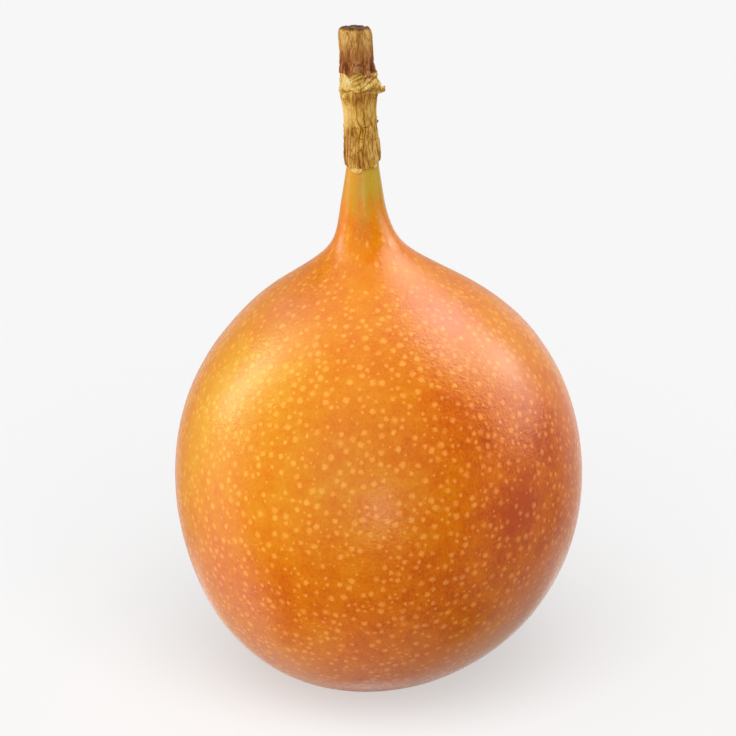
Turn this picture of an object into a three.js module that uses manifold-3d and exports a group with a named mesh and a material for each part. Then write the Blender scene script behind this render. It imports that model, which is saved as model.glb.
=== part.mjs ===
// A whole ripe passion fruit of the sweet orange kind, standing on a small flat spot, with the dry stalk
// it was picked with. Millimetres, +Z up. The origin is the middle of the flat spot. The front faces -Y.
//
// fruit  the grown body: flat spot, round belly, sloping shoulder and the neck that runs up into the stalk
// stalk  the dry woody stalk: a ragged bark sleeve, a swollen joint with torn bract bases, and a cut top
import * as THREE from "three";
import { mergeVertices } from "three/addons/utils/BufferGeometryUtils.js";
import Module from "manifold-3d";

const wasm = await Module();
wasm.setup();

const { degToRad, smoothstep } = THREE.MathUtils;

// Outline of the fruit, from the flat spot up: radius, height, slope of the outline in degrees from the
// horizontal, and how far the curve follows that slope before and after the point.
const FOOT = { r: 6.5, z: 0, slope: 12.5, after: 19.5 };
const BELLY = { r: 32.4, z: 33.9, slope: 90, before: 13, after: 15.8 };
const SHOULDER = { r: 15.1, z: 65.2, slope: 148.7, before: 10, after: 9 };
const NECK = { r: 4.2, z: 74.7, slope: 106.7, before: 4.1, after: 2.3 };
const NECK_TOP = { r: 2.52, z: 83.7, slope: 99, before: 5 };

// The tip of the neck, which narrows under the bark and follows its ragged edge.
const TIP = [
  { r: 2.3, z: 84 },
  { r: 1.9, z: 84.25 },
  { r: 1.84, z: 85.2 },
  { r: 1.5, z: 85.75 },
  { r: 0, z: 85.9 },
];

// How the middle of each level stands off the middle of the flat spot.
const BELLY_SHIFT = 2.5;
const BELLY_SHIFT_TOP = 29;
const NECK_SHIFT = 2.55;
const NECK_SHIFT_FROM = 57;
const NECK_SHIFT_TO = 79;
const NECK_BACK = 0.5;
const STALK_FOOT_Z = 84;
const STALK_LEAN = 0.057;
const STALK_LEAN_BACK = 0.03;

// Three soft lobes run down the fruit, one for each seed bed, with one facing the front. They fade out
// towards the flat spot and up the neck.
const LOBES = 3;
const LOBE_ANGLE = degToRad(-84);
const LOBE_SHARE = 0.008;
const LOBE_FULL_Z = 20;
const LOBE_FADE_Z = 78;
const LOBE_END_Z = 82;

// Thin skin torn up in two small lips at the top of the neck, just under the bark.
const SKIN_LIPS = [
  { angle: degToRad(-108), z: 83.4, half: degToRad(22), rise: 0.2 },
  { angle: degToRad(-48), z: 83.6, half: degToRad(15), rise: 0.12 },
];
const SKIN_LIP_HEIGHT = 0.35;
const SKIN_LIP_CURL = 0.2;

// Outline of the stalk: the hollow that takes the neck, the outside from the rim up, and the cut top.
// The outside's points are radius and height. bark is the share of the bark's relief that a point takes.
const HOLLOW = [
  { r: 0, z: 86.3 },
  { r: 1.6, z: 86.15 },
  { r: 2.12, z: 85.5 },
  { r: 2.22, z: 84.42 },
];
const OUTSIDE = [
  [2.7, 84.36],
  [2.76, 85.2],
  [2.74, 86.6],
  [2.6, 88.2],
  [2.46, 89.8],
  [2.44, 91.4],
  [2.52, 93.2],
  [2.72, 94.8],
  [2.74, 96.2],
  [2.62, 97.6],
  [2.58, 99.2],
  [2.52, 101],
  [2.52, 103],
  [2.62, 104.4],
  [2.6, 105],
];
const OUTSIDE_STEPS = 36;
const CUT_TOP = [
  { r: 2.42, z: 105.2, bark: 0.8 },
  { r: 1.9, z: 105.08, bark: 0.3 },
  { r: 1.1, z: 104.75, bark: 0 },
  { r: 0, z: 104.6, bark: 0 },
];
const RIM_BARK = 0.3;
const FULL_BARK_Z = 86;
const RIM_Z = OUTSIDE[0][1];
const CUT_Z = CUT_TOP[0].z;

// The ragged lower edge of the bark hangs lowest at the front, and the cut top is uneven too.
const RIM_WAVES = [
  { count: 2, depth: 0.26, phase: 1.57 },
  { count: 3, depth: 0.1, phase: 4.9 },
  { count: 7, depth: 0.09, phase: 0.6 },
];
const RIM_WAVE_FROM = 81.5;
const RIM_WAVE_TO = 87.5;
const CUT_WAVES = [
  { count: 1, depth: 0.08, phase: 0.8 },
  { count: 4, depth: 0.07, phase: 2.2 },
  { count: 9, depth: 0.05, phase: 5.1 },
];
const CUT_WAVE_FROM = 103.5;

// Long fibres of the bark: ribs round the stalk that wander sideways as they go up.
const FIBRES = [
  { count: 5, depth: 0.06, wander: 0.5, rate: 0.55, phase: 0.4 },
  { count: 9, depth: 0.07, wander: 0.9, rate: 0.42, phase: 2.1 },
  { count: 12, depth: 0.05, wander: 1.2, rate: 0.8, phase: 4.4 },
];

// The joint where the bracts grew: a swelling on one side, a tilted lip of torn tissue and a round knob.
const JOINT = { angle: degToRad(8), r: 2.74, z: 96.3, height: 2, rise: 0.45 };
const LIP = { z: 95.6, tilt: 0.6, toward: degToRad(10), rise: 0.36, above: 0.8, below: 0.28 };
const UPPER_LIP = { z: 97.6, tilt: 0.35, toward: degToRad(-20), rise: 0.2, above: 0.5, below: 0.28 };
const LIP_TEAR = 0.12;
const LIP_TEETH = 5;
const KNOB = { angle: degToRad(-138), z: 94.6, size: 0.5, rise: 0.36 };
const SPUR = { angle: degToRad(6), z: 91.1, size: 0.4, rise: 0.3 };

// Stubs of the three bracts, torn off short: ragged little plates with their roots sunk in the joint.
const STUBS = [
  { angle: degToRad(-6), z: 95.75, width: 1.7, length: 0.85, tilt: degToRad(8) },
  { angle: degToRad(112), z: 95.3, width: 1.9, length: 0.7, tilt: degToRad(20) },
  { angle: degToRad(-120), z: 95.1, width: 1.5, length: 0.45, tilt: degToRad(-12) },
];
const STUB_THICKNESS = 0.7;
const STUB_ROOT = 1.1;
const STUB_ROOT_WIDTH = 0.6;
// The torn outer end of a stub: how far across, as a share of half its width, and how far out, of its length.
const STUB_END = [
  [-1, 0.5],
  [-0.5, 1],
  [-0.1, 0.7],
  [0.4, 0.95],
  [1, 0.4],
];

const FRUIT_SEGMENTS = 48;
const FRUIT_STEPS = [11, 10, 7, 7];
const STALK_SEGMENTS = 48;

// Bell curve: 1 in the middle, about a third one width away.
const bell = (distance, width) => Math.exp(-((distance / width) ** 2));

// The shortest way round from one angle to another.
const turn = (from, to) => Math.atan2(Math.sin(to - from), Math.cos(to - from));

// The middle of the fruit or stalk at a height.
function middle(z) {
  const belly = BELLY_SHIFT * (1 - Math.max(0, 1 - z / BELLY_SHIFT_TOP) ** 2);
  const neck = smoothstep(z, NECK_SHIFT_FROM, NECK_SHIFT_TO);
  const above = Math.max(0, z - STALK_FOOT_Z);
  return new THREE.Vector2(
    belly - NECK_SHIFT * neck - STALK_LEAN * above,
    NECK_BACK * neck + STALK_LEAN_BACK * above,
  );
}

// One stretch of the fruit's outline, without its last point.
function stretch(from, to, steps) {
  const along = (p, distance) =>
    new THREE.Vector2(
      p.r + distance * Math.cos(degToRad(p.slope)),
      p.z + distance * Math.sin(degToRad(p.slope)),
    );
  const curve = new THREE.CubicBezierCurve(
    along(from, 0),
    along(from, from.after),
    along(to, -to.before),
    along(to, 0),
  );
  return curve.getPoints(steps).slice(0, -1).map((p) => ({ r: p.x, z: p.y }));
}

function fruitOutline() {
  const points = [FOOT, BELLY, SHOULDER, NECK, NECK_TOP];
  const stretches = FRUIT_STEPS.flatMap((steps, i) => stretch(points[i], points[i + 1], steps));
  return [{ r: 0, z: 0 }, ...stretches, NECK_TOP, ...TIP];
}

const waveSum = (waves, angle) =>
  waves.reduce((sum, w) => sum + w.depth * Math.sin(w.count * angle + w.phase), 0);

// The height of a point once the ragged edge of the bark, or the uneven cut, has moved it. The waves die
// out towards the axis.
function ragged({ r, z }, angle) {
  const rim = smoothstep(z, RIM_WAVE_FROM, NECK_TOP.z) * (1 - smoothstep(z, RIM_Z, RIM_WAVE_TO));
  const cut = smoothstep(z, CUT_WAVE_FROM, CUT_Z);
  const wave = rim * waveSum(RIM_WAVES, angle) + cut * waveSum(CUT_WAVES, angle);
  return z + wave * Math.min(1, r);
}

// How far the torn skin stands up at the top of the neck.
function skinLip(angle, z) {
  return SKIN_LIPS.reduce((sum, lip) => {
    const across = turn(lip.angle, angle) / lip.half;
    const up = z - lip.z - SKIN_LIP_CURL * across ** 2;
    return sum + lip.rise * bell(across, 1) * bell(up, SKIN_LIP_HEIGHT);
  }, 0);
}

function placeFruit(point, angle) {
  const { r, z } = point;
  const fade = smoothstep(z, 0, LOBE_FULL_Z) * (1 - smoothstep(z, LOBE_FADE_Z, LOBE_END_Z));
  const lobe = 1 + fade * LOBE_SHARE * Math.cos(LOBES * (angle - LOBE_ANGLE));
  const radius = r * lobe + (z > NECK_TOP.z ? 0 : skinLip(angle, z));
  const centre = middle(z);
  return [
    centre.x + radius * Math.cos(angle),
    centre.y + radius * Math.sin(angle),
    ragged(point, angle),
  ];
}

// A turned solid: each outline point, at each angle, goes where place says.
function turned(outline, segments, place) {
  const profile = outline.map((p) => new THREE.Vector2(p.r, p.z));
  const geometry = new THREE.LatheGeometry(profile, segments);
  const position = geometry.getAttribute("position");
  for (let i = 0; i < position.count; i++) {
    const point = outline[i % outline.length];
    const step = Math.floor(i / outline.length) % segments;
    const [x, y, z] = place(point, (step / segments) * 2 * Math.PI);
    position.setXYZ(i, x, y, z);
  }
  return geometry;
}

function stalkOutline() {
  const outside = new THREE.SplineCurve(OUTSIDE.map(([r, z]) => new THREE.Vector2(r, z)));
  const sleeve = outside.getPoints(OUTSIDE_STEPS).map((p) => ({
    r: p.x,
    z: p.y,
    bark: RIM_BARK + (1 - RIM_BARK) * smoothstep(p.y, RIM_Z, FULL_BARK_Z),
  }));
  const hollow = HOLLOW.map((p) => ({ ...p, bark: 0 }));
  return [...hollow, ...sleeve, ...CUT_TOP];
}

const fibres = (angle, z) =>
  FIBRES.reduce(
    (sum, f) =>
      sum + f.depth * Math.cos(f.count * angle + f.wander * Math.sin(f.rate * z) + f.phase),
    0,
  );

// A tilted lip round the stalk that falls off at one rate above its crest and at another below.
function lip(shape, angle, z) {
  const side = Math.cos(angle - shape.toward);
  const crest = shape.z + shape.tilt * side + LIP_TEAR * Math.sin(LIP_TEETH * angle);
  const torn = 1 + 2 * LIP_TEAR * (side + Math.sin((LIP_TEETH - 1) * angle + 1.3));
  return shape.rise * torn * bell(z - crest, z > crest ? shape.above : shape.below);
}

const lump = (shape, angle, z) =>
  shape.rise *
  bell(turn(shape.angle, angle) * JOINT.r, shape.size) *
  bell(z - shape.z, shape.size);

function barkRelief(angle, z) {
  const swelling =
    JOINT.rise * bell(z - JOINT.z, JOINT.height) * Math.max(0, Math.cos(angle - JOINT.angle));
  return (
    fibres(angle, z) +
    swelling +
    lip(LIP, angle, z) +
    lip(UPPER_LIP, angle, z) +
    lump(KNOB, angle, z) +
    lump(SPUR, angle, z)
  );
}

function placeStalk(point, angle) {
  const { r, z, bark } = point;
  const radius = r + bark * barkRelief(angle, z);
  const centre = middle(z);
  return [
    centre.x + radius * Math.cos(angle),
    centre.y + radius * Math.sin(angle),
    ragged(point, angle),
  ];
}

// A torn bract base: a small plate with a ragged outer end, standing out of the stalk at its angle.
function stubGeometry({ angle, z, width, length, tilt }) {
  const half = width / 2;
  const end = STUB_END.map(([across, out]) => new THREE.Vector2(length * out, half * across));
  const root = [STUB_ROOT_WIDTH, -STUB_ROOT_WIDTH].map(
    (across) => new THREE.Vector2(-STUB_ROOT, half * across),
  );
  const plate = new THREE.ExtrudeGeometry(new THREE.Shape([...end, ...root]), {
    depth: STUB_THICKNESS,
    bevelEnabled: false,
  });
  const centre = middle(z);
  return plate
    .translate(0, 0, -STUB_THICKNESS / 2)
    .rotateY(-tilt)
    .translate(JOINT.r, 0, 0)
    .rotateZ(angle)
    .translate(centre.x, centre.y, z);
}

function toSolid(geometry) {
  const bare = geometry.clone();
  bare.deleteAttribute("normal");
  bare.deleteAttribute("uv");
  const merged = mergeVertices(bare);
  return new wasm.Manifold(
    new wasm.Mesh({
      numProp: 3,
      vertProperties: merged.getAttribute("position").array,
      triVerts: new Uint32Array(merged.index.array),
    }),
  );
}

function toGeometry(solid) {
  const { vertProperties, triVerts } = solid.getMesh();
  const geometry = new THREE.BufferGeometry()
    .setAttribute("position", new THREE.BufferAttribute(vertProperties, 3))
    .setIndex(new THREE.BufferAttribute(triVerts, 1));
  geometry.computeVertexNormals();
  return geometry;
}

const rind = new THREE.MeshStandardMaterial({ color: 0xe8801f, roughness: 0.4, metalness: 0 });
const wood = new THREE.MeshStandardMaterial({ color: 0xb98a45, roughness: 0.8, metalness: 0 });

function makeFruit() {
  const fruit = new THREE.Mesh(turned(fruitOutline(), FRUIT_SEGMENTS, placeFruit), rind);
  fruit.name = "fruit";
  return fruit;
}

function makeStalk() {
  const body = toSolid(turned(stalkOutline(), STALK_SEGMENTS, placeStalk));
  const solid = STUBS.reduce((joined, stub) => joined.add(toSolid(stubGeometry(stub))), body);
  const stalk = new THREE.Mesh(toGeometry(solid), wood);
  stalk.name = "stalk";
  return stalk;
}

const passionFruit = new THREE.Group();
passionFruit.add(makeFruit(), makeStalk());

export default passionFruit;
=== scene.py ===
import itertools
import math

import bpy
import numpy as np
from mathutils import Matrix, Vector, kdtree


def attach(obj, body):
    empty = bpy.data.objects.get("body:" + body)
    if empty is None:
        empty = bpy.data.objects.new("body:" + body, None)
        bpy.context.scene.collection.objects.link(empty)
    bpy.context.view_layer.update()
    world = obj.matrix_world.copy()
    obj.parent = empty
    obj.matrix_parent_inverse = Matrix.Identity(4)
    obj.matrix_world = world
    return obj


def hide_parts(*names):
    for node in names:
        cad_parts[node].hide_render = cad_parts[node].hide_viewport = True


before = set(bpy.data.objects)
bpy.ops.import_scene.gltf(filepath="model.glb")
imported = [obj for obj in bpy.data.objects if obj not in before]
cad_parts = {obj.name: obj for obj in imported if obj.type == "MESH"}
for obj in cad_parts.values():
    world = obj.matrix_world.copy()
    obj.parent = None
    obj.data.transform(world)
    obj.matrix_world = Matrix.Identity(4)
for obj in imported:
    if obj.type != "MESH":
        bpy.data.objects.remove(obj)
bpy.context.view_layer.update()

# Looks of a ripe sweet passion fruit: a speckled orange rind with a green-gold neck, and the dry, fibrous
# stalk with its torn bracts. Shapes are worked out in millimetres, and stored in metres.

MM = 0.001
SEED = 7

# Outline of the fruit, from the flat spot up, as in the solid: radius, height, slope of the outline in
# degrees from the horizontal, and how far the curve follows that slope before and after the point.
OUTLINE = [
    (6.5, 0, 12.5, 0, 19.5),
    (32.4, 33.9, 90, 13, 15.8),
    (15.1, 65.2, 148.7, 10, 9),
    (4.2, 74.7, 106.7, 4.1, 2.3),
    (2.52, 83.7, 99, 5, 0),
]
# The tip of the neck, inside the bark sleeve.
NECK_TIP = [(2.5, 84.2), (2.46, 84.9), (2.25, 85.5), (1.6, 85.8)]
NECK_END = 85.9

# How the middle of each level stands off the middle of the flat spot, as in the solid.
BELLY_SHIFT, BELLY_SHIFT_TOP = 2.5, 29
NECK_SHIFT, NECK_SHIFT_FROM, NECK_SHIFT_TO, NECK_BACK = 2.55, 57, 79, 0.5
STALK_FOOT_Z, STALK_LEAN, STALK_LEAN_BACK = 84, 0.057, 0.03

# Three soft lobes, as in the solid.
LOBES, LOBE_ANGLE, LOBE_SHARE = 3, -84, 0.008
LOBE_FULL_Z, LOBE_FADE_Z, LOBE_END_Z = 20, 78, 82

# Outline of the stalk: the hollow over the neck, the outside from the rim up, and the cut top.
HOLLOW = [(1.6, 86.15), (2.3, 85.95), (2.5, 85.3), (2.56, 84.7)]
RIM = [(2.6, 84.36), (2.66, 84.3)]
OUTSIDE = [
    (2.72, 84.36), (2.78, 85.2), (2.76, 86.6), (2.6, 88.2), (2.46, 89.8), (2.44, 91.4), (2.52, 93.2),
    (2.72, 94.8), (2.74, 96.2), (2.62, 97.6), (2.58, 99.2), (2.52, 101), (2.48, 103), (2.48, 104.1),
    (2.38, 104.7),
]
CUT_TOP = [(2.2, 105), (1.95, 105.16), (1.75, 105.13), (1.55, 105), (1.1, 104.92), (0.5, 104.88)]
STALK_HOLLOW_TOP, STALK_CUT_MIDDLE = 86.3, 104.86
JOINT_R = 2.74


def smoothstep(x, low, high):
    t = np.clip((x - low) / (high - low), 0, 1)
    return t * t * (3 - 2 * t)


def bell(x, width):
    return np.exp(-((x / width) ** 2))


def turn(start, end):
    """The shortest way round from one angle to another."""
    return np.arctan2(np.sin(end - start), np.cos(end - start))


def noise(points, seed):
    """Smooth noise from -1 to 1, one number for each point."""
    table = np.random.default_rng(seed).uniform(-1, 1, 4096)
    cell = np.floor(points).astype(np.int64)
    part = points - cell
    ease = part * part * (3 - 2 * part)
    total = 0
    for corner in itertools.product((0, 1), repeat=3):
        i, j, k = np.moveaxis(cell + corner, -1, 0)
        key = (i * 73856093) ^ (j * 19349663) ^ (k * 83492791)
        weight = np.prod(np.where(corner, ease, 1 - ease), axis=-1)
        total = total + weight * table[key & 4095]
    return total


def layers(points, size, count, seed):
    """Noise in several layers, each half the size and half the strength of the one before."""
    steps = [(0.5 ** i, seed + i) for i in range(count)]
    return sum(share * noise(points / (size * share), key) for share, key in steps)


def middle(z):
    """The middle of the fruit or stalk at a height."""
    belly = BELLY_SHIFT * (1 - np.maximum(0, 1 - z / BELLY_SHIFT_TOP) ** 2)
    neck = smoothstep(z, NECK_SHIFT_FROM, NECK_SHIFT_TO)
    above = np.maximum(0, z - STALK_FOOT_Z)
    x = belly - NECK_SHIFT * neck - STALK_LEAN * above
    return x, NECK_BACK * neck + STALK_LEAN_BACK * above


def bezier_outline(points, samples=160):
    """Radius and height along the fruit's outline."""
    t = np.linspace(0, 1, samples, endpoint=False)[:, None]
    stretches = []
    for (r0, z0, a0, _, after), (r1, z1, a1, before, _) in zip(points, points[1:]):
        start, end = np.array([r0, z0]), np.array([r1, z1])
        out = start + after * np.array([math.cos(math.radians(a0)), math.sin(math.radians(a0))])
        back = end - before * np.array([math.cos(math.radians(a1)), math.sin(math.radians(a1))])
        curve = (1 - t) ** 3 * start + 3 * t * (1 - t) ** 2 * out + 3 * t * t * (1 - t) * back + t ** 3 * end
        stretches.append(curve)
    stretches.append(np.array([points[-1][:2]]))
    return np.concatenate(stretches)


def spline(points, samples):
    """A smooth curve through the points."""
    p = np.array(points, float)
    last = len(p) - 1
    t = np.linspace(0, last, samples)
    i = np.minimum(t.astype(int), last - 1)
    w = (t - i)[:, None]
    a, b, c, d = (p[np.clip(i + k, 0, last)] for k in (-1, 0, 1, 2))
    v0, v1 = (c - a) / 2, (d - b) / 2
    return (2 * b - 2 * c + v0 + v1) * w ** 3 + (-3 * b + 3 * c - 2 * v0 - v1) * w ** 2 + v0 * w + b


def even_steps(curve, count):
    """The same curve, with its points an equal distance apart."""
    along = np.concatenate([[0], np.cumsum(np.linalg.norm(np.diff(curve, axis=0), axis=1))])
    at = np.linspace(0, along[-1], count)
    return np.stack([np.interp(at, along, curve[:, k]) for k in range(2)], axis=1)


def turned_mesh(name, rings, first_pole, last_pole):
    """A closed mesh from rings of points, each ring the same length, with a point at each end."""
    rows, around, _ = rings.shape
    vertices = np.concatenate([rings.reshape(-1, 3), [first_pole, last_pole]]) * MM
    row, col = np.meshgrid(np.arange(rows - 1), np.arange(around), indexing="ij")
    below, above, beside = row * around, (row + 1) * around, (col + 1) % around
    quads = np.stack([below + col, below + beside, above + beside, above + col], -1)
    first, last = rows * around, rows * around + 1
    caps = [(first, (i + 1) % around, i) for i in range(around)]
    top = (rows - 1) * around
    caps += [(last, top + i, top + (i + 1) % around) for i in range(around)]
    mesh = bpy.data.meshes.new(name)
    mesh.from_pydata(vertices.tolist(), [], quads.reshape(-1, 4).tolist() + caps)
    mesh.shade_smooth()
    piece = bpy.data.objects.new(name, mesh)
    bpy.context.scene.collection.objects.link(piece)
    return piece


def point_values(piece, name, values):
    """Stores one number for each vertex, for the material to read."""
    attribute = piece.data.attributes.new(name, "FLOAT", "POINT")
    attribute.data.foreach_set("value", np.asarray(values, np.float32))


# The fruit's surface: 0.4 to 0.55 mm between points on the belly.
FRUIT_AROUND, FRUIT_ROWS = 384, 244
FRUIT_RELIEF = [(9.0, 0.05), (3.2, 0.02), (1.3, 0.008)]
RELIEF_FROM_Z, RELIEF_FULL_Z, RELIEF_FULL_R = 0.3, 3, 12


def lobe_share(angle, z):
    fade = smoothstep(z, 0, LOBE_FULL_Z) * (1 - smoothstep(z, LOBE_FADE_Z, LOBE_END_Z))
    return 1 + fade * LOBE_SHARE * np.cos(LOBES * (angle - math.radians(LOBE_ANGLE)))


def fruit_surface(r, z, angle):
    """Points of the fruit's surface, before the fine relief."""
    x, y = middle(z)
    radius = r * lobe_share(angle, z)
    return np.stack(np.broadcast_arrays(x + radius * np.cos(angle), y + radius * np.sin(angle), z), -1)


def make_fruit():
    outline = even_steps(np.concatenate([bezier_outline(OUTLINE), NECK_TIP]), FRUIT_ROWS)
    r, z = outline[:, :1], outline[:, 1:]
    angle = np.linspace(0, 2 * math.pi, FRUIT_AROUND, endpoint=False)[None, :]
    rings = fruit_surface(r, z, angle)
    slope = np.gradient(outline, axis=0)
    slope /= np.linalg.norm(slope, axis=1, keepdims=True)
    level, down = slope[:, 1:], -slope[:, :1]
    out = np.stack(np.broadcast_arrays(level * np.cos(angle), level * np.sin(angle), down), -1)
    sink = sum(depth * (1 + noise(rings / size, SEED + i)) for i, (size, depth) in enumerate(FRUIT_RELIEF))
    sink = sink * smoothstep(z, RELIEF_FROM_Z, RELIEF_FULL_Z) * smoothstep(r, 0, RELIEF_FULL_R)
    rings = rings - sink[..., None] * out
    x, y = middle(NECK_END)
    piece = turned_mesh("rind", rings, (0, 0, 0), (x, y, NECK_END))
    add_hue(piece, rings, outline)
    add_speckles(piece, outline)
    return piece


# Patches of the rind, as angle, height, size in mm, how much yellower (above 0) or redder (below 0), and how
# much paler and pinker. The paleness is partly the rind's own pink and partly painted light: painted
# reflection of the floor on the bottom patch at -86 degrees, painted highlight at -37 degrees and 58 mm beside
# the right highlight, and painted sheen at -88 degrees and 62 mm. The front is at -90 degrees.
PATCHES = [
    (-145, 53, 8, 0.3, 0), (-157, 44, 12, 0.22, 0), (-167, 57, 10, 0.08, 0), (-128, 58, 6, 0.24, 0),
    (-148, 65, 5, -0.06, 0), (-120, 40, 14, 0.08, 0), (-52, 64, 5, -0.18, 0.22), (-20, 60, 4, 0.12, 0),
    (-62, 50, 8, -0.2, 0), (-72, 53, 7, -0.08, 0), (-51, 37, 5, -0.28, 0), (-45, 32, 16, -0.28, 0),
    (-94, 21, 14, -0.16, 0), (-72, 24, 9, -0.14, 0), (-132, 24, 10, -0.2, 0), (-125, 11, 8, 0, 0.25),
    (-86, 7, 10, -0.24, 0.45), (-145, 64, 5, 0, 0.45), (-37, 58, 5, 0, 0.3), (-37, 47, 6, -0.25, 0),
    (-88, 62, 10, 0, 0.1), (-23, 43, 10, -0.18, 0.15), (60, 35, 22, -0.2, 0), (120, 50, 20, 0.15, 0.1),
    (150, 25, 16, -0.12, 0.1), (20, 20, 12, -0.1, 0.2),
]
HUE_BASE, HUE_NOISE, HUE_NOISE_SIZE = 0.5, 0.06, 6


def add_hue(piece, rings, outline):
    """Stores how yellow the rind is at each point, from red 0 to yellow 1, and how pale, the paleness partly
    painted highlight, sheen and reflection.
    """
    radius = np.interp([patch[1] for patch in PATCHES], outline[:, 1], outline[:, 0])
    hue = HUE_BASE + HUE_NOISE * layers(rings, HUE_NOISE_SIZE, 3, SEED + 20)
    pale = np.zeros(hue.shape)
    for (angle, height, size, yellower, paler), r in zip(PATCHES, radius):
        centre = fruit_surface(r, float(height), math.radians(angle))
        inside = bell(np.linalg.norm(rings - centre, axis=-1), size)
        hue = hue + yellower * inside
        pale = pale + paler * inside
    point_values(piece, "hue", np.append(hue.ravel(), [HUE_BASE, HUE_BASE]))
    point_values(piece, "pale", np.append(pale.ravel(), [0, 0]))


# Pale speckles, the pores of the rind: radius of the large and small ones, and the share of large ones.
SPECKLE_TRIES = 10500
LARGE_SPECKLES, SMALL_SPECKLES, LARGE_SHARE = (0.32, 0.52), (0.17, 0.28), 0.72
SPECKLE_GAP = 0.2
SPECKLE_FADES = (0.7, 1.1)
# Towards the neck they get fewer, smaller and longer.
THINNING_FROM_Z, THINNING_TO_Z, SPECKLE_TOP_Z = 60, 74, 74.5
THINNING_SHARE, SMALLER_BY = 0.6, 0.45
STRETCH_FROM_Z, STRETCH_TO_Z, LONGER_BY = 66, 73, 1.3
# Side of the cells in which crowded speckles are looked for.
SPECKLE_CELL = 2
NO_SPECKLE = 9.0


def speckle_places(outline):
    """Speckles on the surface: place, how far round, how far up, radius, stretch and strength of each."""
    rng = np.random.default_rng(SEED)
    length = np.linalg.norm(np.diff(outline, axis=0), axis=1)
    area = length * (outline[1:, 0] + outline[:-1, 0])
    rows = rng.choice(len(area), SPECKLE_TRIES, p=area / area.sum())
    share = rng.random(SPECKLE_TRIES)[:, None]
    spots = outline[rows] * (1 - share) + outline[rows + 1] * share
    slopes = (outline[rows + 1] - outline[rows]) / length[rows, None]
    angles = rng.uniform(-math.pi, math.pi, SPECKLE_TRIES)
    large = rng.random(SPECKLE_TRIES) < LARGE_SHARE
    large_sizes = rng.uniform(*LARGE_SPECKLES, SPECKLE_TRIES)
    small_sizes = rng.uniform(*SMALL_SPECKLES, SPECKLE_TRIES)
    sizes = np.where(large, large_sizes, small_sizes)
    chance = rng.random(SPECKLE_TRIES)
    fade = rng.uniform(*SPECKLE_FADES, SPECKLE_TRIES)
    taken = {}
    speckles = []
    for spot, slope, angle, size, luck, dim in zip(spots, slopes, angles, sizes, chance, fade):
        r, z = spot
        high = float(smoothstep(z, THINNING_FROM_Z, THINNING_TO_Z))
        if z > SPECKLE_TOP_Z or luck > 1 - THINNING_SHARE * high:
            continue
        place = fruit_surface(r, z, angle)
        size *= 1 - SMALLER_BY * high
        stretch = 1 + LONGER_BY * float(smoothstep(z, STRETCH_FROM_Z, STRETCH_TO_Z))
        cell = tuple(np.floor(place / SPECKLE_CELL).astype(int))
        steps = itertools.product((-1, 0, 1), repeat=3)
        near = [taken.get(tuple(at + step for at, step in zip(cell, around)), ()) for around in steps]
        if any(math.dist(place, other) < size + s + SPECKLE_GAP for other, s in itertools.chain(*near)):
            continue
        taken.setdefault(cell, []).append((place, size))
        east = Vector((-math.sin(angle), math.cos(angle), 0))
        north = Vector((slope[0] * math.cos(angle), slope[0] * math.sin(angle), slope[1]))
        strength = dim * (0.55 + 0.45 * min(1, size / LARGE_SPECKLES[0]))
        speckles.append((Vector(place), east, north, size, stretch, strength))
    return speckles


def add_speckles(piece, outline):
    """Stores, at the corners of each face, how far it is from the nearest speckle's middle, in its radii,
    and how strong that speckle is."""
    speckles = speckle_places(outline)
    tree = kdtree.KDTree(len(speckles))
    for i, speckle in enumerate(speckles):
        tree.insert(speckle[0], i)
    tree.balance()
    mesh = piece.data
    points = [v.co / MM for v in mesh.vertices]
    values = np.full((len(mesh.loops), 3), NO_SPECKLE, np.float32)
    for face in mesh.polygons:
        near = tree.find_n(face.center / MM, 3)
        distance, i = min((d - speckles[i][3], i) for _, i, d in near)
        if distance > 1:
            continue
        place, east, north, size, stretch, strength = speckles[i]
        for loop in face.loop_indices:
            off = points[mesh.loops[loop].vertex_index] - place
            values[loop] = (off.dot(east) / size, off.dot(north) / (size * stretch), strength)
    attribute = mesh.attributes.new("speckle", "FLOAT_VECTOR", "CORNER")
    attribute.data.foreach_set("vector", values.ravel())


# The stalk's surface: 0.05 to 0.08 mm between points.
STALK_AROUND, STALK_ROWS = 320, 270
RIM_WAVES = [(1, 0.44, 1.0), (2, 0.34, 1.57), (5, 0.07, 0.6)]
RIM_WAVE_FROM, RIM_WAVE_TO = 81.5, 87.5
CUT_WAVES = [(1, 0.04, 3.1), (4, 0.04, 2.2), (9, 0.04, 5.1)]
CUT_WAVE_FROM = 103.5
# A smooth, paler side of the bark below the joint, on the stalk's lit left, made lighter also as painted
# light:
# angle, reach round, and the heights it lies between.
PALE_LIT_SIDE, PALE_LIT_WIDTH, PALE_LIT_STRETCH = -145, 0.7, (90, 93.8)
# Heights between which the joint begins, and between which the bark is smoother, below the joint and above.
JOINT_STARTS, CALM_BELOW, CALM_ABOVE = (95.2, 96.1), (91.5, 94.5), (100.2, 101.2)
FIBRES = [(5, 0.06, 0.5, 0.55, 0.4), (9, 0.07, 0.9, 0.42, 2.1), (12, 0.05, 1.2, 0.8, 4.4)]
JOINT_ANGLE, JOINT_Z, JOINT_HEIGHT, JOINT_RISE = 8, 96.6, 1.9, 0.26
# Torn lips round the joint: height, tilt, angle that it rises towards, rise, and reach above and below.
LIPS = [(96, 0.4, 10, 0.34, 0.8, 0.25), (97.7, 0.35, -20, 0.18, 0.5, 0.28)]
LIP_TEAR, LIP_TEETH = 0.12, 5
# Round lumps: angle, height, size and rise. The last ones are the dark spurs of old tendrils.
KNOB = (-137, 95, 0.4, 0.5)
SPURS = [(4, 91.35, 0.2, 0.24), (8, 90.75, 0.26, 0.34), (-174, 90.2, 0.3, 0.12)]
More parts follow.
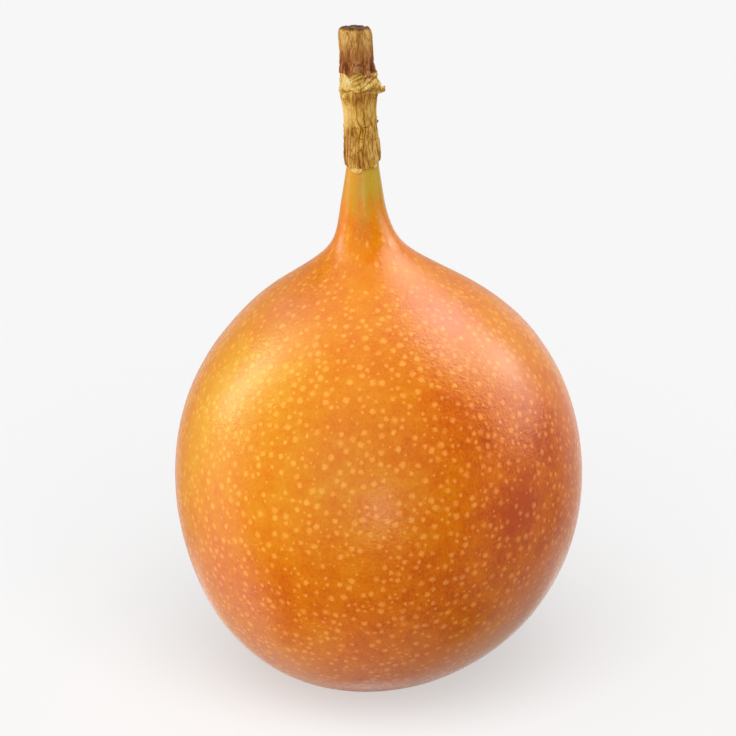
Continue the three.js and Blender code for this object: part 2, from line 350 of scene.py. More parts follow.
# Fibres of the dry bark, parted by narrow grooves: across, along and depth, in mm.
CORDS = [(0.75, 7.0, 0.15), (0.4, 3.5, 0.1)]
GROOVE_WIDTH = 0.2
# Flaking plates of the bark: how many around, height of one, depth of the gaps and how far plates stand proud.
PLATES_AROUND, PLATE_HEIGHT, PLATE_GAP, PLATE_RISE = 15, 2.1, 0.11, 0.07
# Crumpled folds of the joint, rising to the right: across, along, depth and slope in degrees.
FOLDS = [(0.5, 2.2, 0.17, 28), (0.28, 1.3, 0.08, 36)]
SMOOTH_SIDE, SMOOTH_WIDTH = -135, 0.75
# Cracks, pits and painted shadow lines, as angle and height along each; their darkness is painted shade. The
# lines from 94.4 to 96.1 mm, under the knob and the torn lips, are painted shadows under these overhangs.
CRACKS_AND_SHADOW_LINES = [
    [(-84, 90.3), (-63, 90.4), (-50, 90.7), (-41, 90.2)],
    [(-50, 90.7), (-50, 91.7)],
    [(-74, 92.6), (-73, 91.1)],
    [(-124, 89.1), (-105, 88.6), (-96, 88.7), (-86, 88.3), (-81, 88.7), (-81, 90.2)],
    [(-127, 89.9), (-112, 90.2), (-98, 90.1)],
    [(-88, 87.2), (-88, 86.1)],
    [(-101, 86.7), (-100, 85.8)],
    [(-44, 86.8), (-42, 85.8)],
    [(-63, 87), (-62, 86.4)],
    [(20, 88.8), (40, 89.2), (66, 88.9)],
    [(100, 90.6), (128, 90.1), (150, 90.5), (158, 89)],
    [(-178, 87.6), (-160, 88)],
    [(-165, 94.6), (-143, 94.4), (-124, 94.6)],
    [(-75, 95.7), (-55, 95.7), (-35, 95.8), (-15, 96.1)],
    [(-155, 95.8), (-128, 95.6), (-112, 95.9), (-98, 95.5), (-86, 95.8)],
    [(-118, 104.7), (-117, 104.2)],
    [(-84, 104.6), (-83, 104.1)],
    [(-55, 104.5), (-54, 103.6)],
    [(-105, 103.4), (-104, 102.3)],
    [(-112, 102.3), (-115, 100.9)],
    [(-134, 100.9), (-136, 99.9)],
    [(-117, 100.5), (-116, 98.9)],
]
PITS = [(-47, 97), (-72, 96.3), (-83, 96.8), (-112, 98.3), (-140, 95.3), (-33, 98.1), (70, 97), (140, 96.4)]
CRACK_WIDTH, CRACK_DEPTH, CRACK_WANDER, PIT_WIDTH = 0.09, 0.15, 0.13, 0.17
# The round scar of a leaf above the joint: angle, height and radius.
SCAR = (-95, 99.15, 0.8)
SCAR_DEPTH = 0.06
# Darker, redder stains: angle, height, reach across and along, and strength. The two under the front of the
# joint, at -92 and -60 degrees, are painted shade under its overhang.
STAINS_AND_SHADE = [
    (-138, 87.2, 1.5, 2.2, 0.75), (-92, 94.4, 1, 0.8, 0.8), (-48, 88.4, 0.7, 1.3, 0.6),
    (-92, 85.1, 0.9, 0.8, 0.7), (-60, 95.2, 0.8, 0.5, 0.6), (-140, 99.3, 1, 0.8, 0.5),
    (-35, 99.6, 1, 1, 0.6), (-110, 101, 0.8, 1.2, 0.4), (30, 87.5, 1.5, 1.7, 0.6),
    (110, 93.5, 1.4, 1, 0.7), (170, 88.5, 1.2, 2.1, 0.5), (75, 90.5, 0.8, 1.6, 0.5),
]
# Where the brown bark hangs down over the joint in tongues: angle, reach and width in degrees. Where the reach
# is below 0, the joint reaches up into the bark.
BARK_EDGE_Z = 98.4
TONGUES = [(-117, 0.5, 7), (-84, -0.35, 15), (-51, 0.65, 10), (20, 0.6, 12), (120, 0.5, 14)]


def waves(parts, angle):
    return sum(depth * np.sin(count * angle + phase) for count, depth, phase in parts)


def bark_edge(angle):
    """Height where the brown bark of the upper stalk ends, torn, over the pale joint."""
    around = np.stack([np.cos(angle), np.sin(angle), np.zeros_like(angle)], -1)
    edge = BARK_EDGE_Z + 0.2 * noise(around * 2, SEED + 31) + 0.2 * noise(around * 6, SEED + 32)
    for at, reach, width in TONGUES:
        edge = edge - reach * bell(turn(math.radians(at), angle), math.radians(width))
    return edge


def lips(angle, z):
    rise = 0
    for height, tilt, toward, amount, above, below in LIPS:
        side = np.cos(angle - math.radians(toward))
        crest = height + tilt * side + LIP_TEAR * np.sin(LIP_TEETH * angle)
        torn = 0.7 + 0.5 * side + 2 * LIP_TEAR * np.sin((LIP_TEETH - 1) * angle + 1.3)
        rise = rise + amount * torn * bell(z - crest, np.where(z > crest, above, below))
    return rise


def lump(shape, angle, z):
    at, height, size, rise = shape
    return rise * bell(turn(math.radians(at), angle) * JOINT_R, size) * bell(z - height, size)


def distance_to(angle, z, start, end):
    """Distance over the bark from the line between two places."""
    across = turn(math.radians(start[0]), angle) * JOINT_R
    run = np.array([math.radians(end[0] - start[0]) * JOINT_R, end[1] - start[1]])
    t = np.clip((across * run[0] + (z - start[1]) * run[1]) / max(run @ run, 1e-9), 0, 1)
    return np.hypot(across - t * run[0], z - start[1] - t * run[1])


def crack_depth(angle, z, round_it):
    """How deep the surface lies in a crack or pit, from 0 to 1."""
    angle = angle + CRACK_WANDER / JOINT_R * layers(round_it, 0.5, 2, SEED + 41)
    z = z + CRACK_WANDER * layers(round_it, 0.5, 2, SEED + 43)
    deep = np.zeros(angle.shape)
    for crack in CRACKS_AND_SHADOW_LINES:
        for start, end in zip(crack, crack[1:]):
            deep = np.maximum(deep, bell(distance_to(angle, z, start, end), CRACK_WIDTH))
    for pit in PITS:
        deep = np.maximum(deep, bell(distance_to(angle, z, pit, pit), PIT_WIDTH))
    return deep * (0.75 + 0.35 * noise(round_it / 0.7, SEED + 45))


def plates(angle, z, round_it):
    """Gaps between flaking plates, from 0 to 1, and how far each plate stands proud."""
    rng = np.random.default_rng(SEED + 5)
    rows = 12
    jitter = rng.random((PLATES_AROUND, rows, 4))
    wander = 0.3 * layers(round_it, 1.1, 3, SEED + 46)
    across = (angle / (2 * math.pi) * PLATES_AROUND + wander) % PLATES_AROUND
    up = z / PLATE_HEIGHT + 0.16 * layers(round_it, 0.6, 3, SEED + 49)
    col, row = np.floor(across).astype(int), np.floor(up).astype(int)
    first = np.full(across.shape, 9.0)
    second, rise, weight = first.copy(), np.zeros(across.shape), np.zeros(across.shape)
    for i, j in itertools.product((-1, 0, 1), repeat=2):
        seed = jitter[(col + i) % PLATES_AROUND, (row + j) % rows]
        gap = np.hypot(across - col - i - seed[..., 0], up - row - j - seed[..., 1])
        nearest = gap < first
        second = np.where(nearest, first, np.minimum(second, gap))
        rise = np.where(nearest, seed[..., 2], rise)
        weight = np.where(nearest, seed[..., 3], weight)
        first = np.where(nearest, gap, first)
    return (1 - smoothstep(second - first, 0, 0.13)) * (0.35 + 0.65 * weight), rise


def grooves(places, seed):
    """Narrow grooves along the lines where noise is nought, from 0 on the ridges to 1 at the bottom."""
    return 1 - smoothstep(np.abs(noise(places, seed)), 0, GROOVE_WIDTH)


def bark_grooves(angle, z, round_it):
    """Depth of the long grooves between the fibres, and the painted shade in them."""
    drift = 0.5 * layers(round_it / [2, 2, 3], 1, 2, SEED + 40)
    bent = round_it + drift[..., None] * np.stack([-np.sin(angle), np.cos(angle), 0 * angle], -1)
    depth = dark = 0
    for i, (across, along, deep) in enumerate(CORDS):
        groove = grooves(bent / [across, across, along], SEED + 50 + i)
        depth = depth + deep * groove
        dark = np.maximum(dark, groove * (0.9 - 0.2 * i))
    return depth, dark


def joint_folds(angle, z):
    """Depth of the folds of the joint and the painted shade in them; the joint is also darker away from its
    smooth side.
    """
    smooth = bell(turn(math.radians(SMOOTH_SIDE), angle), SMOOTH_WIDTH)
    depth = dark = 0
    for i, (across, along, deep, slope) in enumerate(FOLDS):
        c, d = math.cos(math.radians(slope)), math.sin(math.radians(slope))
        side = JOINT_R * turn(math.radians(SMOOTH_SIDE), angle)
        places = np.stack(np.broadcast_arrays((c * side + d * z) / along, (c * z - d * side) / across, i), -1)
        groove = grooves(places + 0.9 * layers(places * 0.6, 1, 2, SEED + 80)[..., None], SEED + 60 + i)
        depth = depth + deep * groove * (1 - 0.8 * smooth)
        dark = np.maximum(dark, groove * (0.85 - 0.25 * i) * (1 - 0.75 * smooth))
    return depth, dark + 0.25 * (1 - smooth)


def stalk_rows():
    """Radius, height and share of the bark's relief for each ring of the stalk."""
    outside = even_steps(spline(OUTSIDE, 600), STALK_ROWS)
    first = np.array(HOLLOW + RIM, float)
    top = even_steps(np.array([OUTSIDE[-1]] + CUT_TOP, float), 26)[1:]
    rows = np.concatenate([first, outside, top])
    bark = 0.35 + 0.65 * smoothstep(rows[:, 1], OUTSIDE[0][1], 85.6)
    bark[: len(HOLLOW)] = 0
    bark[-len(top):] = smoothstep(top[:, 0], 1.4, 2.4)
    return rows[:, :1], rows[:, 1:], bark[:, None], len(top)


def zone(z, low, high, soft):
    """1 between two heights and 0 away from them."""
    return smoothstep(z, low - soft, low + soft) * (1 - smoothstep(z, high - soft, high + soft))


def scar_rings(angle, z):
    """How strongly a point belongs to the round scar, and how deep it is in the scar's rings."""
    gap = distance_to(angle, SCAR[1] + 1.25 * (z - SCAR[1]), SCAR[:2], SCAR[:2]) / SCAR[2]
    gap = gap + 0.45 * layers(np.stack(np.broadcast_arrays(JOINT_R * angle, z, 0), -1), 0.7, 3, SEED + 52)
    return 1 - smoothstep(gap, 0.8, 1.1), 0.5 * bell(gap - 1, 0.18) + 0.25 * bell(gap - 0.45, 0.14)


def make_stalk():
    r, z, bark, top_rows = stalk_rows()
    angle = np.linspace(0, 2 * math.pi, STALK_AROUND, endpoint=False)[None, :]
    round_it = np.stack(np.broadcast_arrays(JOINT_R * np.cos(angle), JOINT_R * np.sin(angle), z), -1)
    edge = bark_edge(angle)
    upper = smoothstep(z, edge - 0.08, edge + 0.08)
    joint = smoothstep(z + 0.3 * noise(round_it / 0.8, SEED + 54), *JOINT_STARTS) * (1 - upper)
    coarse = sum(d * np.cos(n * angle + w * np.sin(f * z) + p) for n, d, w, f, p in FIBRES)
    facing_joint = np.maximum(0, np.cos(angle - math.radians(JOINT_ANGLE)))
    swelling = JOINT_RISE * bell(z - JOINT_Z, JOINT_HEIGHT) * facing_joint
    spurs = sum(lump(spur, angle, z) for spur in SPURS)
    shape = coarse + swelling + lips(angle, z) + lump(KNOB, angle, z) + spurs
    knob = bell(distance_to(angle, z, KNOB[:2], KNOB[:2]), KNOB[2])
    joint = np.maximum(joint, knob)
    depth, dark = bark_grooves(angle, z, round_it)
    gap, rise = plates(angle, z, round_it)
    fold_depth, fold_dark = joint_folds(angle, z)
    pale = bell(turn(math.radians(PALE_LIT_SIDE), angle), PALE_LIT_WIDTH)
    calm = 0.4 * zone(z, *CALM_BELOW, 0.7) + 0.45 * smoothstep(z, *CALM_ABOVE)
    calm = calm + 0.35 * zone(z, *PALE_LIT_STRETCH, 0.5) * pale
    bare = (1 - np.minimum(calm, 1)) * (1 - joint)
    crack = crack_depth(angle, z, round_it)
    scar, rings = scar_rings(angle, z)
    step = 0.07 * upper * (1 - smoothstep(z, edge + 0.3, edge + 2))
    depth = (depth + PLATE_GAP * gap - PLATE_RISE * rise) * bare * (1 - scar)
    depth = depth + fold_depth * joint + SCAR_DEPTH * rings * upper
    fine = step + 0.03 - depth - CRACK_DEPTH * crack
    radius = r + bark * (shape + fine)
    rim = smoothstep(z, RIM_WAVE_FROM, 83.7) * (1 - smoothstep(z, OUTSIDE[0][1], RIM_WAVE_TO))
    cut = smoothstep(z, CUT_WAVE_FROM, 105)
    frayed = 0.1 * noise(round_it / [0.3, 0.3, 9], SEED + 70)
    wave = rim * (waves(RIM_WAVES, angle) + frayed) + cut * (waves(CUT_WAVES, angle) + 0.6 * frayed)
    height = z + wave * np.minimum(1, r)
    x, y = middle(z)
    points = np.stack([x + radius * np.cos(angle), y + radius * np.sin(angle), height], -1)
    low, high = middle(STALK_HOLLOW_TOP), middle(STALK_CUT_MIDDLE)
    piece = turned_mesh("bark", points, (*low, STALK_HOLLOW_TOP), (*high, STALK_CUT_MIDDLE))
    # Painted shade in the grooves, plate gaps, folds, scar rings, cracks and pits, with the dark spurs; the
    # knob is kept light.
    dark = np.maximum(dark, 0.9 * gap) * bare * (1 - scar) + fold_dark * joint + rings * upper
    groove = np.maximum(dark, np.maximum(crack, 3 * spurs)) * (1 - 0.9 * knob)
    cut_face = np.zeros(groove.shape)
    cut_face[-top_rows:] = 1 - smoothstep(r[-top_rows:], 1.6, 1.8)
    stain_and_shade = sum(
        share * bell(turn(math.radians(at), angle) * JOINT_R, across) * bell(z - up, along)
        for at, up, across, along, share in STAINS_AND_SHADE
    )
    shares = {
        "groove": groove, "joint": joint, "upper": upper, "cut_face": cut_face, "scar": scar,
        "pale_side": zone(z, *PALE_LIT_STRETCH, 0.8) * pale, "stain_and_shade": stain_and_shade,
    }
    for name, values in shares.items():
        values = np.broadcast_to(values, groove.shape)
        point_values(piece, name, np.concatenate([values.ravel(), values[[0, -1], 0]]))
    return piece


# Torn shreds of dry bracts round the joint: angle, height, width, length and thickness in mm, then tilt, curl
# and roll in degrees. The first is the stub of a tendril.
SHREDS = [
    (-9, 95.65, 1.9, 1.3, 1.3, 2, 4, -2),
    (-36, 95.6, 1.3, 0.6, 0.25, -18, -35, 12),
    (-64, 95.5, 1.5, 0.5, 0.22, -40, -35, 14),
    (-120, 95.3, 1.2, 0.4, 0.2, -50, -20, 4),
    (112, 95.3, 1.9, 0.8, 0.55, 18, 12, 8),
    (58, 95.8, 1.6, 0.6, 0.22, -12, -25, -12),
    (150, 95.6, 1.4, 0.5, 0.22, 8, 15, 6),
    (88, 97.6, 1.2, 0.4, 0.2, 25, 20, -8),
]
# Flakes of the neck's skin, lifted under the rim of the bark.
SKIN_FLAKES = [
    (-110, 84.3, 1.8, 0.6, 0.18, -66, -14, 4),
    (-44, 84.9, 1.3, 0.4, 0.16, -70, -10, -14),
    (80, 84.7, 1.6, 0.5, 0.2, -68, -8, 0),
]
SHRED_ROOT, SHRED_ACROSS, SHRED_ALONG, FLAKE_R = 0.5, 11, 10, 3.1


def shred_points(shred, root_r, seed):
    """Upper and lower side of a torn, curled plate that grows out of the stalk."""
    angle, z, width, length, thickness, tilt, curl, roll = shred
    a = math.radians(angle)
    out, side = np.array([math.cos(a), math.sin(a), 0]), np.array([-math.sin(a), math.cos(a), 0])
    up = np.array([0, 0, 1])
    u, v = np.meshgrid(np.linspace(-1, 1, SHRED_ACROSS), np.linspace(0, 1, SHRED_ALONG))
    torn = (1 - 0.75 * u ** 2) * (1 + 0.15 * noise(np.stack([u * 3, 0 * u, 0 * u + seed], -1), SEED + 90))
    reach = (length * torn + SHRED_ROOT) * v
    lean = np.radians(tilt + curl * v)
    across = u * width / 2 * (1 - 0.4 * v ** 2)
    arch = 0.25 * width * (1 - u ** 2) * (0.4 + 0.6 * v)
    crumple = 0.12 * noise(np.stack([u * 2.5, v * 2, 0 * u + seed], -1), SEED + 91) * v
    thick = thickness * (1 - 0.4 * v) * (1 - 0.5 * u ** 2)
    x, y = middle(z)
    root = np.array([x, y, z]) + (root_r - SHRED_ROOT) * out
    c, s = math.cos(math.radians(roll)), math.sin(math.radians(roll))
    sideways, rise = side * c + up * s, up * c - side * s
    forward, lift = reach * np.cos(lean), reach * np.sin(lean) + arch + crumple - 0.2 * width
    base = root + forward[..., None] * out + lift[..., None] * rise + across[..., None] * sideways
    return base + thick[..., None] / 2 * rise, base - thick[..., None] / 2 * rise


def make_shreds(name, shreds, root_r):
    """All the shreds as one piece, each a closed plate."""
    vertices, faces = [], []
    rows, cols = SHRED_ALONG, SHRED_ACROSS
    flat = rows * cols
    edge = [(0, j) for j in range(cols)] + [(i, cols - 1) for i in range(1, rows)]
    edge += [(rows - 1, j) for j in range(cols - 2, -1, -1)] + [(i, 0) for i in range(rows - 2, 0, -1)]
    for k, shred in enumerate(shreds):
        first = len(vertices)
        for sheet in shred_points(shred, root_r, k):
            vertices += (sheet.reshape(-1, 3) * MM).tolist()
        for i, j in itertools.product(range(rows - 1), range(cols - 1)):
            a = first + i * cols + j
            faces.append((a, a + 1, a + cols + 1, a + cols))
            faces.append((a + flat, a + flat + cols, a + flat + cols + 1, a + flat + 1))
        for (i0, j0), (i1, j1) in zip(edge, edge[1:] + edge[:1]):
            a, b = first + i0 * cols + j0, first + i1 * cols + j1
            faces.append((b, a, a + flat, b + flat))
    mesh = bpy.data.meshes.new(name)
    mesh.from_pydata(vertices, [], faces)
    mesh.shade_smooth()
    piece = bpy.data.objects.new(name, mesh)
    bpy.context.scene.collection.objects.link(piece)
    return piece


def new_material(name):
    material = bpy.data.materials.new(name)
    material.use_nodes = True
    material.node_tree.nodes.clear()
    return material


def add(tree, kind, inputs=None, **settings):
    """Adds a node. An input that is a socket is linked, and any other is set."""
    made = tree.nodes.new("ShaderNode" + kind)
    for key, value in settings.items():
        setattr(made, key, value)
    for key, value in (inputs or {}).items():
        if isinstance(value, bpy.types.NodeSocket):
            tree.links.new(value, made.inputs[key])
        else:
            made.inputs[key].default_value = value
    return made


def math_node(tree, operation, *values):
    made = add(tree, "Math", operation=operation)
    for socket, value in zip(made.inputs, values):
        if isinstance(value, bpy.types.NodeSocket):
            tree.links.new(value, socket)
        else:
            socket.default_value = value
    return made.outputs[0]


def fit(tree, value, low, high, start=0.0, end=1.0):
    """Maps a value from one range to another, with soft ends."""
    made = add(tree, "MapRange", interpolation_type="SMOOTHSTEP", clamp=True)
    for key, number in {"From Min": low, "From Max": high, "To Min": start, "To Max": end}.items():
        made.inputs[key].default_value = number
    tree.links.new(value, made.inputs["Value"])
    return made.outputs["Result"]


def ramp(tree, factor, stops):
    """A colour that follows a factor through the stops."""
    made = add(tree, "ValToRGB", {"Fac": factor})
    elements = made.color_ramp.elements
    while len(elements) < len(stops):
        elements.new(0.5)
    for element, (position, colour) in zip(elements, stops):
        element.position = position
        element.color = (*colour, 1)
    return made.outputs["Color"]


def blend_colours(tree, factor, a, b, kind="MIX"):
    made = add(tree, "Mix", data_type="RGBA", blend_type=kind, clamp_result=True)
    for index, value in ((0, factor), (6, a), (7, b)):
        if isinstance(value, bpy.types.NodeSocket):
            tree.links.new(value, made.inputs[index])
        else:
            made.inputs[index].default_value = value if index == 0 else (*value, 1)
    return made.outputs[2]


def scaled_noise(tree, place, size, detail=3.0, roughness=0.5, stretch=(1, 1, 1)):
    """A noise texture whose features are about size millimetres across."""
    mapping = add(tree, "Mapping", {"Vector": place, "Scale": [1 / (MM * size * s) for s in stretch]})
    inputs = {"Vector": mapping.outputs[0], "Scale": 1.0, "Detail": detail, "Roughness": roughness}
    return add(tree, "TexNoise", inputs).outputs["Fac"]


def read(tree, name, output="Fac"):
    return add(tree, "Attribute", attribute_name=name).outputs[output]


def height_of(tree, place):
    return add(tree, "SeparateXYZ", {"Vector": place}).outputs["Z"]


# Rind colours, from red to yellow, then the neck's.
RIND_COLOURS = [
    (0.0, (0.58, 0.08, 0.008)),
    (0.3, (0.8, 0.175, 0.004)),
    (0.55, (0.88, 0.265, 0.003)),
    (0.8, (0.9, 0.36, 0.005)),
    (1.0, (0.9, 0.45, 0.012)),
]
# What a speckle adds to the colour under it, and the colour of the neck's long flecks.
SPECKLE_LIFT = (0.26, 0.172, 0.047)
FLECK_COLOUR = (0.98, 0.5, 0.09)
# Pale pink of the rind, also laid on as painted highlight, painted sheen and painted floor reflection.
PALE_PINK_AND_SHEEN_COLOUR = (0.88, 0.32, 0.16)
NECK_GOLD = (0.75, 0.34, 0.02)
NECK_GREEN = (0.64, 0.4, 0.035)
RED_COLOUR = (0.55, 0.07, 0.01)
# Heights between which the neck's colours take over, and the width of the change from gold to green.
NECK_COLOUR_FROM, NECK_COLOUR_TO, NECK_CHANGE = 74.5 * MM, 81.5 * MM, 1.5 * MM
# Heights in mm: where the neck's flecks begin, are strongest, fade and end, and where the rind gets smoother.
FLECKS_FROM, FLECKS_FULL, FLECKS_FADE, FLECKS_END = 69, 73, 77, 81
SMOOTHER_FROM, SMOOTHER_TO = 66, 76


def rind_colour(tree, place, up):
    mottle = scaled_noise(tree, place, 2.6, 4, 0.6)
    grain = scaled_noise(tree, place, 0.36, 4, 0.7, (1, 1, 1.6))
    hue = math_node(tree, "ADD", read(tree, "hue"), fit(tree, mottle, 0.25, 0.75, -0.1, 0.1))
    hue = math_node(tree, "ADD", hue, fit(tree, grain, 0.3, 0.7, -0.11, 0.11))
    colour = ramp(tree, hue, RIND_COLOURS)
    # Paler, pinker patches: partly the rind's own pink, partly painted highlight, sheen and reflection.
    colour = blend_colours(tree, read(tree, "pale"), colour, PALE_PINK_AND_SHEEN_COLOUR)
    streak = scaled_noise(tree, place, 1.2, 3, 0.5, (1, 1, 9))
    side = add(tree, "SeparateXYZ", {"Vector": place}).outputs["X"]
    leaning = math_node(tree, "ADD", side, fit(tree, streak, 0.2, 0.8, -NECK_CHANGE, NECK_CHANGE))
    neck = blend_colours(tree, fit(tree, leaning, -NECK_CHANGE, NECK_CHANGE), NECK_GOLD, NECK_GREEN)
    edge = math_node(tree, "ADD", up, fit(tree, streak, 0.2, 0.8, -0.0018, 0.0018))
    colour = blend_colours(tree, fit(tree, edge, NECK_COLOUR_FROM, NECK_COLOUR_TO), colour, neck)
    dashes = fit(tree, scaled_noise(tree, place, 0.45, 1, 0.5, (1, 1, 4)), 0.62, 0.72, 0, 0.5)
    dashes = math_node(tree, "MULTIPLY", dashes, fit(tree, up, FLECKS_FROM * MM, FLECKS_FULL * MM))
    dashes = math_node(tree, "MULTIPLY", dashes, fit(tree, up, FLECKS_END * MM, FLECKS_FADE * MM))
    colour = blend_colours(tree, dashes, colour, FLECK_COLOUR)
    red = fit(tree, scaled_noise(tree, place, 0.9, 3, 0.6, (1, 1, 2)), 0.6, 0.78, 0, 0.2)
    return blend_colours(tree, red, colour, RED_COLOUR), mottle, grain


def speckle_mask(tree, place):
    """How strongly each point belongs to a speckle."""
    parts = add(tree, "SeparateXYZ", {"Vector": read(tree, "speckle", "Vector")}).outputs
    round_it = math_node(tree, "POWER", parts["X"], 2.0)
    up_it = math_node(tree, "POWER", parts["Y"], 2.0)
    distance = math_node(tree, "SQRT", math_node(tree, "ADD", round_it, up_it))
    ragged = scaled_noise(tree, place, 0.35, 2)
    distance = math_node(tree, "ADD", distance, fit(tree, ragged, 0.2, 0.8, -0.3, 0.3))
    return math_node(tree, "MULTIPLY", fit(tree, distance, 1.35, 0.35), parts["Z"])


def rind_material():
    material = new_material("rind_skin")
    tree = material.node_tree
    place = add(tree, "TexCoord").outputs["Object"]
    up = height_of(tree, place)
    colour, mottle, grain = rind_colour(tree, place, up)
    mask = speckle_mask(tree, place)
    colour = blend_colours(tree, mask, colour, SPECKLE_LIFT, "ADD")
    wrinkles = scaled_noise(tree, place, 0.6, 1.5, 0.5, (1, 1, 0.7))
    relief = math_node(tree, "ADD", math_node(tree, "MULTIPLY", grain, 0.25), wrinkles)
    relief = math_node(tree, "ADD", relief, math_node(tree, "MULTIPLY", mask, 0.12))
    calmer = fit(tree, up, SMOOTHER_FROM * MM, SMOOTHER_TO * MM, 1, 0.3)
    relief = math_node(tree, "MULTIPLY", relief, calmer)
    bump = add(tree, "Bump", {"Height": relief, "Strength": 0.8, "Distance": 0.08 * MM})
    shader = add(tree, "BsdfPrincipled", {
        "Base Color": colour, "Roughness": fit(tree, mottle, 0.3, 0.7, 0.22, 0.28),
        "Normal": bump.outputs[0], "IOR": 1.46,
    })
    add(tree, "OutputMaterial", {"Surface": shader.outputs[0]})
    return material


# Bark colours: from the pale ridges to the dark cracks of each zone, whose darkness is painted shade.
LOWER_BARK = [
    (0.0, (0.87, 0.58, 0.17)),
    (0.3, (0.64, 0.35, 0.055)),
    (0.6, (0.43, 0.19, 0.018)),
    (1.0, (0.11, 0.035, 0.005)),
]
UPPER_BARK = [
    (0.0, (0.55, 0.26, 0.08)),
    (0.3, (0.39, 0.14, 0.03)),
    (0.6, (0.25, 0.072, 0.015)),
    (1.0, (0.07, 0.02, 0.006)),
]
TOP_BARK = [
    (0.0, (0.8, 0.5, 0.17)),
    (0.3, (0.57, 0.29, 0.06)),
    (0.6, (0.38, 0.16, 0.025)),
    (1.0, (0.1, 0.035, 0.01)),
]
JOINT_BARK = [
    (0.0, (0.95, 0.75, 0.34)),
    (0.35, (0.75, 0.48, 0.11)),
    (0.65, (0.46, 0.22, 0.025)),
    (1.0, (0.13, 0.05, 0.006)),
]
CUT_COLOURS = [(0.0, (0.33, 0.23, 0.12)), (0.5, (0.14, 0.095, 0.05)), (1.0, (0.03, 0.02, 0.01))]
STAIN_AND_SHADE_TINT, SCAR_COLOUR = (0.68, 0.48, 0.45), (0.4, 0.24, 0.12)
# Heights in mm between which the brown bark turns to the paler bark of the top, the rim of the cut darkens,
# and painted shade darkens the lower bark under the joint's overhang.
TOP_STARTS, RIM_DARKENS, SHADE_UNDER_JOINT = (100.6, 103.4), (104.7, 105.15), (93, 94.6)
FLAKE_COLOURS = [(0.0, (0.7, 0.36, 0.05)), (1.0, (0.98, 0.72, 0.24))]


def bark_tone(tree, place, up):
    """How dark the bark is: painted shade in its grooves, cracks and pits, the dark spurs, fine fibres and
    blotches, lighter on the pale side with its painted light, and darker at the rim of the cut.
    """
    fibre = scaled_noise(tree, place, 0.14, 3, 0.6, (1, 1, 9))
    blotch = scaled_noise(tree, place, 1.1, 4, 0.6, (1, 1, 2.2))
    # Painted shade in the hollows, with the dark spurs.
    tone = math_node(tree, "MULTIPLY", read(tree, "groove"), 0.6)
    tone = math_node(tree, "ADD", tone, fit(tree, fibre, 0.25, 0.75, 0.0, 0.42))
    tone = math_node(tree, "ADD", tone, fit(tree, blotch, 0.25, 0.75, -0.2, 0.16))
    # Painted light: the pale side of the bark, on the stalk's lit left, is made lighter.
    tone = math_node(tree, "SUBTRACT", tone, math_node(tree, "MULTIPLY", read(tree, "pale_side"), 0.3))
    rim = fit(tree, up, RIM_DARKENS[0] * MM, RIM_DARKENS[1] * MM, 0, 0.7)
    return math_node(tree, "ADD", tone, rim), fibre, blotch


def bark_material():
    material = new_material("dry_bark")
    tree = material.node_tree
    place = add(tree, "TexCoord").outputs["Object"]
    up = height_of(tree, place)
    tone, fibre, blotch = bark_tone(tree, place, up)
    # Painted shade under the joint's overhang.
    shade_under_joint = math_node(tree, "MULTIPLY", fit(tree, up, SHADE_UNDER_JOINT[0] * MM, SHADE_UNDER_JOINT[1] * MM), 0.1)
    lower = ramp(tree, math_node(tree, "ADD", tone, shade_under_joint), LOWER_BARK)
    drip = math_node(tree, "ADD", up, fit(tree, fibre, 0.3, 0.7, -0.8 * MM, 0.8 * MM))
    near_top = fit(tree, drip, TOP_STARTS[0] * MM, TOP_STARTS[1] * MM)
    above = blend_colours(tree, near_top, ramp(tree, tone, UPPER_BARK), ramp(tree, tone, TOP_BARK))
    above = blend_colours(tree, math_node(tree, "MULTIPLY", read(tree, "scar"), 0.22), above, SCAR_COLOUR)
    colour = blend_colours(tree, read(tree, "upper"), lower, above)
    colour = blend_colours(tree, read(tree, "joint"), colour, ramp(tree, tone, JOINT_BARK))
    # Stains, with painted shade under the front of the joint.
    stained_and_shaded = math_node(tree, "MULTIPLY", read(tree, "stain_and_shade"), fit(tree, blotch, 0.3, 0.6, 0.6, 1.3))
    colour = blend_colours(tree, stained_and_shaded, colour, STAIN_AND_SHADE_TINT, "MULTIPLY")
    cut = ramp(tree, fit(tree, blotch, 0.3, 0.7), CUT_COLOURS)
    colour = blend_colours(tree, read(tree, "cut_face"), colour, cut)
    bump = add(tree, "Bump", {"Height": fibre, "Strength": 0.6, "Distance": 0.05 * MM})
    shader = add(tree, "BsdfPrincipled", {
        "Base Color": colour, "Roughness": fit(tree, blotch, 0.3, 0.7, 0.6, 0.78),
        "Normal": bump.outputs[0], "IOR": 1.4, "Specular IOR Level": 0.3,
    })
    add(tree, "OutputMaterial", {"Surface": shader.outputs[0]})
    return material


def shred_material(name, colours):
    """Papery plant matter, blotched."""
    material = new_material(name)
    tree = material.node_tree
    place = add(tree, "TexCoord").outputs["Object"]
    blotch = scaled_noise(tree, place, 0.7, 4, 0.65)
    shader = add(tree, "BsdfPrincipled", {
        "Base Color": ramp(tree, fit(tree, blotch, 0.3, 0.7), colours), "Roughness": 0.7, "IOR": 1.4,
        "Normal": add(tree, "Bump", {"Height": blotch, "Strength": 0.5, "Distance": 0.08 * MM}).outputs[0],
    })
    add(tree, "OutputMaterial", {"Surface": shader.outputs[0]})
    return material


